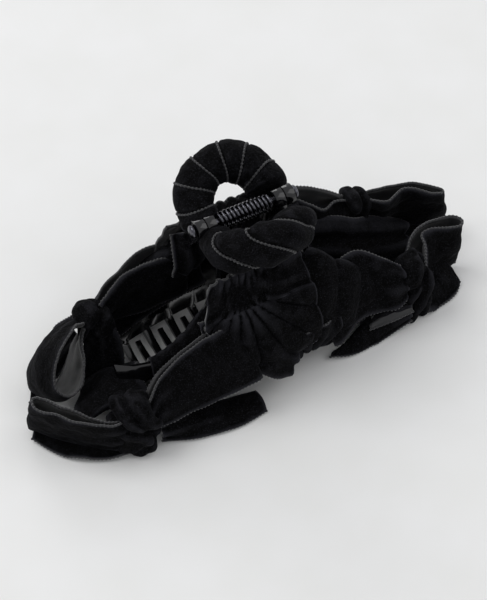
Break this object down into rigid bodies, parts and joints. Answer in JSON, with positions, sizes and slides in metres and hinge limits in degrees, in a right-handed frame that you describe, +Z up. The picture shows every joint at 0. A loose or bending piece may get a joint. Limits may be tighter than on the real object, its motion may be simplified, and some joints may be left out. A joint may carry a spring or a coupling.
{
  "type": "claw hair clip",
  "caption": "Sprung claw clip for hair: two toothed jaws on one hinge, with velvet-wrapped handles, pleated ribbon covers and a bow at each corner.",
  "frame": {"origin": "centre of the overall box, on the table plane that the closed clip stands on", "axes": "+X along the hinge and the clip's length, -Y towards the front jaw, +Z up"},
  "size_m": [0.16, 0.0756, 0.0713],
  "materials": {
    "velvet_ribbon": "black velvet pile with a charcoal satin back and stitched selvedges",
    "jaw_plastic": "black moulded plastic, polished",
    "spring_steel": "black coated spring wire, gloss",
    "pin_steel": "black coated pin, gloss"
  },
  "bodies": {
    "front": {"front_jaw": "jaw_plastic", "hinge_pin": "pin_steel", "torsion_spring": "spring_steel", "front_handle_wrap": "velvet_ribbon", "front_fan": "velvet_ribbon", "front_gather": "velvet_ribbon", "front_left_sleeve": "velvet_ribbon", "front_left_bow_knot": "velvet_ribbon", "front_left_bow_outer_loop": "velvet_ribbon", "front_left_bow_inner_loop": "velvet_ribbon", "front_left_bow_outer_tail": "velvet_ribbon", "front_left_bow_inner_tail": "velvet_ribbon", "front_right_sleeve": "velvet_ribbon", "front_right_bow_knot": "velvet_ribbon", "front_right_bow_outer_loop": "velvet_ribbon", "front_right_bow_inner_loop": "velvet_ribbon", "front_right_bow_outer_tail": "velvet_ribbon", "front_right_bow_inner_tail": "velvet_ribbon"},
    "rear": {"rear_jaw": "jaw_plastic", "rear_handle_wrap": "velvet_ribbon", "rear_fan": "velvet_ribbon", "rear_gather": "velvet_ribbon", "rear_left_sleeve": "velvet_ribbon", "rear_left_bow_knot": "velvet_ribbon", "rear_left_bow_outer_loop": "velvet_ribbon", "rear_left_bow_inner_loop": "velvet_ribbon", "rear_left_bow_outer_tail": "velvet_ribbon", "rear_left_bow_inner_tail": "velvet_ribbon", "rear_right_sleeve": "velvet_ribbon", "rear_right_bow_knot": "velvet_ribbon", "rear_right_bow_outer_loop": "velvet_ribbon", "rear_right_bow_inner_loop": "velvet_ribbon", "rear_right_bow_outer_tail": "velvet_ribbon", "rear_right_bow_inner_tail": "velvet_ribbon"}
  },
  "joints": [
    {"name": "jaw_hinge", "type": "hinge", "parent": "front", "child": "rear", "pos_m": [0, 0, 0.058], "axis": [1, 0, 0], "range_deg": [0, 50], "stiffness_Nm_per_rad": 0.12, "springref_deg": -45.84, "deforming": ["torsion_spring"]}
  ]
}
